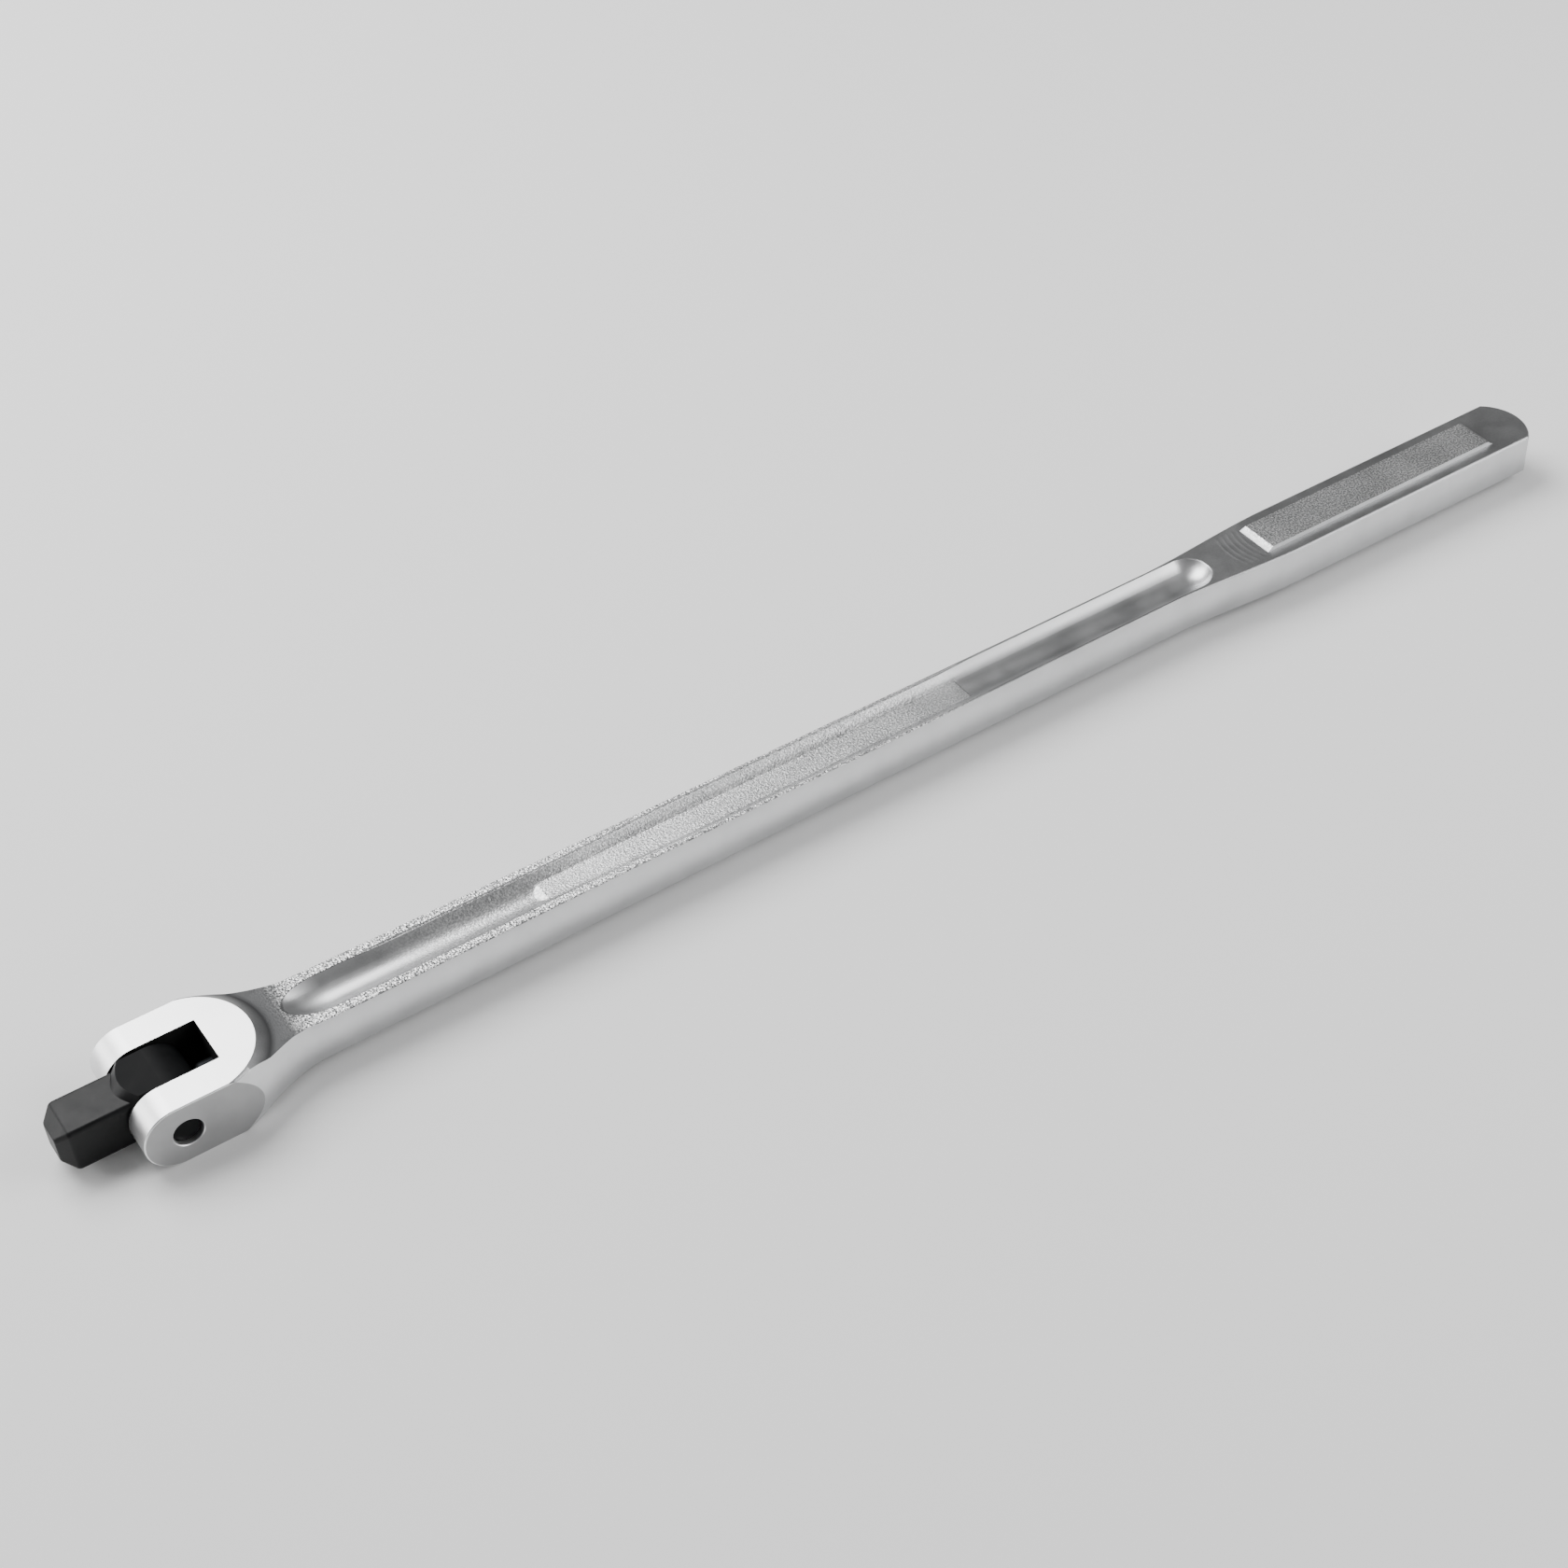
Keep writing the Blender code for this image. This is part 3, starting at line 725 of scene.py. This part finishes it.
def ring_flats(mesh):
    """Joins the pieces of each milled flat, then rings it twice, so the painted edge wear and
    highlight stay at its rim.
    """
    shape = bmesh.new()
    shape.from_mesh(mesh)
    for axis, half in ((2, HALF_FORK), (1, HALF_FORK_WIDTH)):
        for level in (half, -half):
            members = set(faces_on(shape, axis, level))
            inner = [e for e in shape.edges if len(members.intersection(e.link_faces)) == 2]
            bmesh.ops.dissolve_limit(shape, angle_limit=radians(2.0), edges=inner, verts=[])
            for _ in range(2):
                large = [f for f in faces_on(shape, axis, level) if f.calc_area() > LARGE_FLAT]
                bmesh.ops.inset_region(
                    shape, faces=large, thickness=FLAT_RING, use_even_offset=True
                )
    shape.to_mesh(mesh)
    shape.free()


def grip_end_mesh():
    """The rounded end of the grip, as a long block with a round end and rounded rims."""
    centre = GRIP_END - GRIP_END_RADIUS
    above, aside, before = 20.0, 40.0, -60.0
    straight_end = centre - 14.0
    rings = []
    levels = [(-above, GRIP_END_ROUND)]
    for i in range(7):
        angle = pi / 2 * i / 6
        inset = GRIP_END_ROUND * (1.0 - sin(angle))
        levels.append((-HALF_THICKNESS + GRIP_END_ROUND * (1.0 - cos(angle)), inset))
    levels += [(-z, inset) for z, inset in reversed(levels)]
    for z, inset in levels:
        radius = GRIP_END_RADIUS - inset
        ring = [(before, -aside, z), (straight_end, -aside, z), (centre, -radius, z)]
        for angle in steps(-pi / 2, pi / 2, 64):
            ring.append((centre + radius * cos(angle), radius * sin(angle), z))
        ring += [(straight_end, aside, z), (before, aside, z)]
        rings.append(ring)
    return mesh_from_rings("grip_end", rings)


def envelope_mesh():
    """The fork's milled outline: flat sides and faces, round ears, softly rounded rims."""
    beyond = GRIP_END + 20.0
    rings = []
    for side in (-1, 1):
        turn = [0.0] + steps(0.0, pi / 2, 4)
        for angle in turn if side < 0 else reversed(turn):
            inset = RIM_ROUND * (1.0 - sin(angle))
            y = side * (HALF_FORK_WIDTH - RIM_ROUND * (1.0 - cos(angle)))
            radius = HALF_FORK - inset
            ring = [(beyond, y, -radius), (beyond, y, radius)]
            for a in [pi / 2] + steps(pi / 2, 3 * pi / 2, 64):
                ring.append((EAR_CENTRE + radius * cos(a), y, radius * sin(a)))
            rings.append(ring)
    return mesh_from_rings("envelope", rings)


def shoulder_mesh(up):
    """The mill's sweep round the back of the fork: a short cone down to a level floor."""
    above = HALF_FORK + 4.0
    beyond = 60.0
    outline = [(above, BOSS_RADIUS - 0.1), (HALF_FORK + 0.02, BOSS_RADIUS - 0.1)]
    outline += [(HALF_FORK - 0.06, BOSS_RADIUS + 0.05)]
    outline += [(MILLED_FLOOR + 0.35, BOSS_FOOT - 0.55), (MILLED_FLOOR + 0.09, BOSS_FOOT)]
    outline += [(MILLED_FLOOR, BOSS_FOOT + BOSS_FOOT_ROUND), (MILLED_FLOOR, beyond)]
    outline += [(above, beyond)]
    rings = []
    count = 120
    for i in range(count + 1):
        angle = -pi / 2 + pi * i / count
        ring = []
        for z, radius in outline:
            x = BOSS_CENTRE + radius * cos(angle)
            ring.append((x, radius * sin(angle), up * z))
        rings.append(ring)
    return mesh_from_rings("shoulder", rings)


def slot_mesh():
    """The slot between the ears, through the fork and open at its front."""
    half = SLOT_WIDTH / 2
    before, above = -30.0, 20.0
    corners = [(before, -half), (SLOT_END, -half), (SLOT_END, half), (before, half)]
    return mesh_from_rings("slot", [[(x, y, z) for x, y in corners] for z in (-above, above)])


def pin_bore_mesh():
    """The cross bore, with its mouths broken by a small chamfer."""
    outside = 25.0
    radius = PIN_BORE_RADIUS
    mouth = radius + PIN_BORE_CHAMFER
    chamfer_end = HALF_FORK_WIDTH - PIN_BORE_CHAMFER
    outline = [(-outside, 0.0), (-outside, mouth), (-HALF_FORK_WIDTH, mouth)]
    outline += [(-chamfer_end, radius), (chamfer_end, radius)]
    outline += [(HALF_FORK_WIDTH, mouth), (outside, mouth), (outside, 0.0)]
    return turned("pin_bore", outline, (0, 0, 0), (0, 1, 0), 72)


def on_flank(x, y, z):
    """True beside the upper and lower faces, or deeper than they go."""
    return abs(z) < half_thickness(x) - FACE_DEPTH or abs(y) > half_width(x) + FACE_MARGIN


def in_channel(x, y):
    return abs(y) < lip_at(x) - LIP_MARGIN


def grain_at(x, y, z):
    """How strongly the grain shows: fully on the rims near the fork, less along the bar and in
    the channel, a little on the grip's flats and more on its pad."""
    if on_flank(x, y, z):
        return 0.0
    fade_in = smooth_step(x, *GRAIN_IN)
    fade_out = 1.0 - smooth_step(x, *GRAIN_OUT)
    if in_channel(x, y):
        if PANEL_START + PANEL_START_RAMP < x < PANEL_END and abs(y) < PANEL_GRAIN_HALF_WIDTH:
            fading, lasting = PANEL_GRAIN
            return lasting + fading * fade_out
        return CHANNEL_GRAIN * smooth_step(x, *CHANNEL_GRAIN_IN) * fade_out
    on_rim = fade_in * fade_out * (1.0 - GRAIN_THINNING * smooth_step(x, *GRAIN_THINS))
    return max(on_rim, FLATS_GRAIN + PAD_GRAIN * pad_share(x, y))


def matte_and_shade_at(x, y, z):
    """1 on the dull mill-swept neck. Elsewhere it is painted shade: some in the channel, most on
    its walls before the panel and on its floor after it, and on the rims and flats towards the
    grip."""
    neck_end = MATTE_NECK_OUT[1]
    if x < neck_end and abs(z) >= MATTE_NECK_BOTTOM:
        on_band = smooth_step(abs(z), *MATTE_BAND)
        return (1.0 - MATTE_BAND_LOSS * on_band) * (1.0 - smooth_step(x, *MATTE_NECK_OUT))
    if on_flank(x, y, z):
        return 0.0
    if in_channel(x, y):
        on_wall = smooth_step(abs(y), *MATTE_SHADE_WALL)
        before = MATTE_SHADE_BEFORE_PANEL + MATTE_SHADE_BEFORE_PANEL_WALL * on_wall
        before *= 1.0 - smooth_step(x, *MATTE_SHADE_BEFORE_PANEL_OUT)
        after = MATTE_SHADE_AFTER_PANEL + MATTE_SHADE_AFTER_PANEL_WALL * on_wall
        after *= smooth_step(x, *MATTE_SHADE_AFTER_PANEL_IN)
        after *= 1.0 - smooth_step(x, *MATTE_SHADE_AFTER_PANEL_OUT)
        return max(before, after)
    return MATTE_SHADE_FLATS * smooth_step(x, *MATTE_SHADE_FLATS_IN) * (1.0 - pad_share(x, y))


def mark_surface(handle):
    """Stores the grain, and the dullness with its painted shade, of the faces that look up or down.
    """
    mesh = handle.data
    for name, value_at in (("grain", grain_at), ("matte_and_shade", matte_and_shade_at)):
        values = mesh.attributes.new(name, "FLOAT", "CORNER").data
        for polygon in mesh.polygons:
            if abs(polygon.normal.z) < UPWARD:
                continue
            for corner in polygon.loop_indices:
                vertex = mesh.vertices[mesh.loops[corner].vertex_index]
                values[corner].value = value_at(*((vertex.co - PIN) / MM))


# --- the head ---


def rounded_square(x, half, radius, count=8):
    """One ring of the drive square, with count steps round each corner."""
    ring = []
    for corner in range(4):
        turn = pi / 2 * corner
        for step in range(count + 1):
            angle = turn + pi / 2 * step / count
            y = (half - radius) * (1 if cos(turn + pi / 4) > 0 else -1) + radius * cos(angle)
            z = (half - radius) * (1 if sin(turn + pi / 4) > 0 else -1) + radius * sin(angle)
            ring.append((x, y, z))
    return ring


def build_tang(black, deep_black):
    """The square with its chamfered end, the shoulder that a cone shapes and the knuckle."""
    tip = TANG_LOW.x
    profile = [(0.0, 3.1, 0.9), (0.06, 3.5, 1.0), (0.25, 3.85, 1.05), (2.75, 6.02, 1.15)]
    profile += [(3.1, 6.22, 1.2), (3.5, 6.32, 1.2), (3.9, HALF_SQUARE, SQUARE_CORNER)]
    rings = [rounded_square(tip + x, half, corner) for x, half, corner in profile]
    rings.append(rounded_square(-2.0, HALF_SQUARE, SQUARE_CORNER))
    tang = make_object("head_tang", mesh_from_rings("head_tang", rings), black)

    cone_end = CONE_START + CONE_REACH - CONE_RADIUS
    cone = [(CONE_START, 0.0), (CONE_START, CONE_RADIUS), (cone_end, CONE_REACH)]
    cone += [(-0.3, CONE_REACH), (-0.3, 0.0)]
    shoulder = make_object("shoulder", turned("shoulder", cone, (0, 0, 0), (1, 0, 0), 128), black)
    edge = 0.4
    high = KNUCKLE_RADIUS - 0.05
    bar = [(-KNUCKLE_HALF + edge, -high), (KNUCKLE_HALF - edge, -high)]
    bar += [(KNUCKLE_HALF, -high + edge), (KNUCKLE_HALF, high - edge)]
    bar += [(KNUCKLE_HALF - edge, high), (-KNUCKLE_HALF + edge, high)]
    bar += [(-KNUCKLE_HALF, high - edge), (-KNUCKLE_HALF, -high + edge)]
    block = mesh_from_rings("block", [[(x, y, z) for y, z in bar] for x in (-30.0, 20.0)])
    cut(shoulder, block, deep_black, "INTERSECT")
    shoulder_shape = shoulder.data
    bpy.data.objects.remove(shoulder)
    cut(tang, shoulder_shape, None, "UNION")

    chamfer = 0.4
    knuckle = [(-KNUCKLE_HALF, 0.0), (-KNUCKLE_HALF, KNUCKLE_RADIUS - chamfer)]
    knuckle += [(-KNUCKLE_HALF + chamfer, KNUCKLE_RADIUS), (KNUCKLE_HALF - chamfer, KNUCKLE_RADIUS)]
    knuckle += [(KNUCKLE_HALF, KNUCKLE_RADIUS - chamfer), (KNUCKLE_HALF, 0.0)]
    cut(tang, turned("knuckle", knuckle, (0, 0, 0), (0, 1, 0)), deep_black, "UNION")
    cut(tang, pin_bore_mesh(), deep_black)
    ball_x = (BALL_LOW.x + BALL_HIGH.x) / 2
    pocket = [(-12.0, 0.0), (-12.0, POCKET_RADIUS), (1.2, POCKET_RADIUS), (1.9, 0.0)]
    cut(tang, turned("pocket", pocket, (ball_x, 0, 0), (0, 0, 1), 48), black)
    weld(tang)
    finish_shading(tang)
    return tang


def build_pin(black):
    """The cross pin, with lightly domed ends."""
    half = PIN_HIGH.y
    radius = PIN_HIGH.z
    end = [(0.0, 0.0), (0.06, 1.2), (0.16, 2.2), (0.3, radius - 0.25), (0.55, radius)]
    outline = [(-half + along, across) for along, across in end]
    outline += [(half - along, across) for along, across in reversed(end)]
    pin = make_object("cross_pin", turned("cross_pin", outline, (0, 0, 0), (0, 1, 0)), black)
    finish_shading(pin, 50.0)
    return pin


def build_plunger(steel):
    """The detent plunger: a ball nose, a waist for oil and a plain tail."""
    radius = PLUNGER_HIGH.y
    waist = radius - 0.2
    tail_edge = 0.25
    nose = PLUNGER_LOW.x
    end = PLUNGER_HIGH.x
    angles = [0.0] + steps(0.0, pi / 2, 12)
    outline = [(nose + radius * (1.0 - cos(a)), radius * sin(a)) for a in angles]
    outline += [(end - 2.6, radius), (end - 2.4, waist), (end - 1.9, waist), (end - 1.7, radius)]
    outline += [(end - tail_edge, radius), (end, radius - tail_edge), (end, 0.0)]
    mesh = turned("detent_plunger", outline, (0, 0, 0), (1, 0, 0), 64)
    plunger = make_object("detent_plunger", mesh, steel)
    finish_shading(plunger, 40.0)
    return plunger


def build_ball(steel):
    middle = (BALL_LOW + BALL_HIGH) / 2
    radius = (BALL_HIGH.x - BALL_LOW.x) / 2
    angles = [pi * i / 32 for i in range(33)]
    outline = [(-radius * cos(a), radius * sin(a)) for a in angles]
    mesh = turned("retaining_ball", outline, middle, (0, 0, 1), 64)
    ball = make_object("retaining_ball", mesh, steel)
    ball.data.shade_smooth()
    return ball


def build_spring(name, low, high, axis, turns, steel):
    """A coil with closed, flattened end turns, inside the CAD spring's box."""
    middle = (low + high) / 2
    along = Vector(axis)
    length = abs((high - low).dot(along))
    limit = length / 2 - END_MARGIN
    across = along.orthogonal().normalized()
    third = along.cross(across)
    open_length = length - 2 * WIRE_RADIUS - 2 * END_PITCH * WIRE_RADIUS
    total = turns + 2 * END_TURNS
    count = int(total * POINTS_PER_TURN)
    points = []
    for i in range(count + 1):
        turn = total * i / count
        share = min(max((turn - END_TURNS) / turns, 0.0), 1.0)
        in_ends = min(turn, END_TURNS) + max(turn - END_TURNS - turns, 0.0)
        end_lift = WIRE_RADIUS * END_PITCH * in_ends / END_TURNS
        reach = WIRE_RADIUS + end_lift + share * open_length
        spoke = across * cos(2 * pi * turn) + third * sin(2 * pi * turn)
        points.append(middle + along * (reach - length / 2) + spoke * COIL_RADIUS)
    rings = []
    for i, point in enumerate(points):
        ahead = points[min(i + 1, count)] - points[max(i - 1, 0)]
        ahead.normalize()
        out = (point - middle) - along * (point - middle).dot(along)
        out.normalize()
        side = ahead.cross(out).normalized()
        ring = []
        for k in range(WIRE_SIDES):
            angle = 2 * pi * k / WIRE_SIDES
            corner = point + (out * cos(angle) + side * sin(angle)) * WIRE_RADIUS
            reach = (corner - middle).dot(along)
            corner -= along * (reach - min(max(reach, -limit), limit))
            ring.append(corner)
        rings.append(ring)
    spring = make_object(name, mesh_from_rings(name, rings), steel)
    finish_shading(spring, 50.0)
    return spring


def shorten_with(spring):
    """Gives the spring a mesh of its own."""
    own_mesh(spring)


# --- putting it together ---

FORGED = forged_chrome()
MILLED = milled_chrome("milled_chrome", 0.78, 0.36)
# A darker copy of the milled chrome for the fork's sides: painted shade.
SIDE_PAINTED_SHADE = milled_chrome("milled_side_painted_shade", 0.37, 0.44)
DARK = slot_steel()
BLACK = black_oxide("black_oxide", 0.005, 0.3, 0.16)
DEEP_BLACK = black_oxide("deep_black_oxide", 0.004, 0.5, 0.08)
STEEL = bright_steel("bright_steel", 0.55, 0.2)
# The plunger's steel, painted nearly black: painted shade where it sits in the slot.
SHADE_PAINTED_STEEL = bright_steel("shade_painted_steel", 0.02, 0.5)
SPRING_STEEL = bright_steel("spring_steel", 0.35, 0.3)

forging = build_forging(FORGED, MILLED, SIDE_PAINTED_SHADE, DARK)
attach(forging, "handle")
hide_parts("forged_handle")

tang = build_tang(BLACK, DEEP_BLACK)
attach(tang, "head")
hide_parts("drive_tang")

pin = build_pin(DEEP_BLACK)
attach(pin, "handle")
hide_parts("hinge_pin")

plunger = build_plunger(SHADE_PAINTED_STEEL)
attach(plunger, "detent_plunger")
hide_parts("head_detent_plunger")

ball = build_ball(STEEL)
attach(ball, "socket_ball")
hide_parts("socket_retaining_ball")

detent_spring = build_spring(
    "plunger_spring", DETENT_SPRING_LOW, DETENT_SPRING_HIGH, (1, 0, 0), 6, SPRING_STEEL
)
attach(detent_spring, "handle")
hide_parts("head_detent_spring")
shorten_with(
    detent_spring
)

ball_spring = build_spring(
    "ball_spring", BALL_SPRING_LOW, BALL_SPRING_HIGH, (0, 0, 1), 2.5, SPRING_STEEL
)
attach(ball_spring, "head")
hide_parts("socket_ball_spring")
shorten_with(ball_spring)


# --- stage, light and camera ---


def build_floor():
    """A pale floor that reaches out of sight, just under the fork."""
    n = Nodes("pale_floor")
    clouds = n.noise(3.0, 3.0, 0.5)
    base = n.mix(clouds, grey(0.88), grey(0.90))
    material = n.finish(colour=base, roughness=0.9, specular=0.2)
    shape = bmesh.new()
    bmesh.ops.create_grid(shape, x_segments=8, y_segments=8, size=FLOOR_HALF_SIZE)
    mesh = bpy.data.meshes.new("floor")
    shape.to_mesh(mesh)
    shape.free()
    floor = make_object("floor", mesh, material)
    floor.location.z = CAD_BOX[0].z - FLOOR_GAP * MM


def build_world():
    world = bpy.data.worlds.new("studio")
    bpy.context.scene.world = world
    world.use_nodes = True
    background = world.node_tree.nodes["Background"]
    background.inputs["Color"].default_value = grey(WORLD_GREY)
    background.inputs["Strength"].default_value = WORLD_STRENGTH


def add_softbox(name, direction, distance, size, power):
    """A rectangular softbox that faces the bar's middle from a direction."""
    light = bpy.data.lights.new(name, "AREA")
    light.shape = "RECTANGLE"
    light.size, light.size_y = size
    light.energy = power
    lamp = bpy.data.objects.new(name, light)
    away = Vector(direction).normalized()
    lamp.location = (CAD_BOX[0] + CAD_BOX[1]) / 2 + away * distance
    lamp.rotation_mode = "QUATERNION"
    lamp.rotation_quaternion = away.to_track_quat("Z", "Y")
    bpy.context.scene.collection.objects.link(lamp)


def build_camera():
    data = bpy.data.cameras.new("camera")
    data.sensor_width = CAMERA_SENSOR
    data.lens = CAMERA_LENS
    data.clip_start = 0.01
    data.clip_end = 50.0
    camera = bpy.data.objects.new("camera", data)
    camera.location = place(CAMERA_PLACE)
    away = camera.location - place(CAMERA_TARGET)
    level = away.to_track_quat("Z", "Y")
    roll = Quaternion((0, 0, 1), radians(CAMERA_ROLL))
    camera.rotation_mode = "QUATERNION"
    camera.rotation_quaternion = level @ roll
    bpy.context.scene.collection.objects.link(camera)
    bpy.context.scene.camera = camera


build_floor()
build_world()
for softbox in SOFTBOXES:
    add_softbox(*softbox)
build_camera()
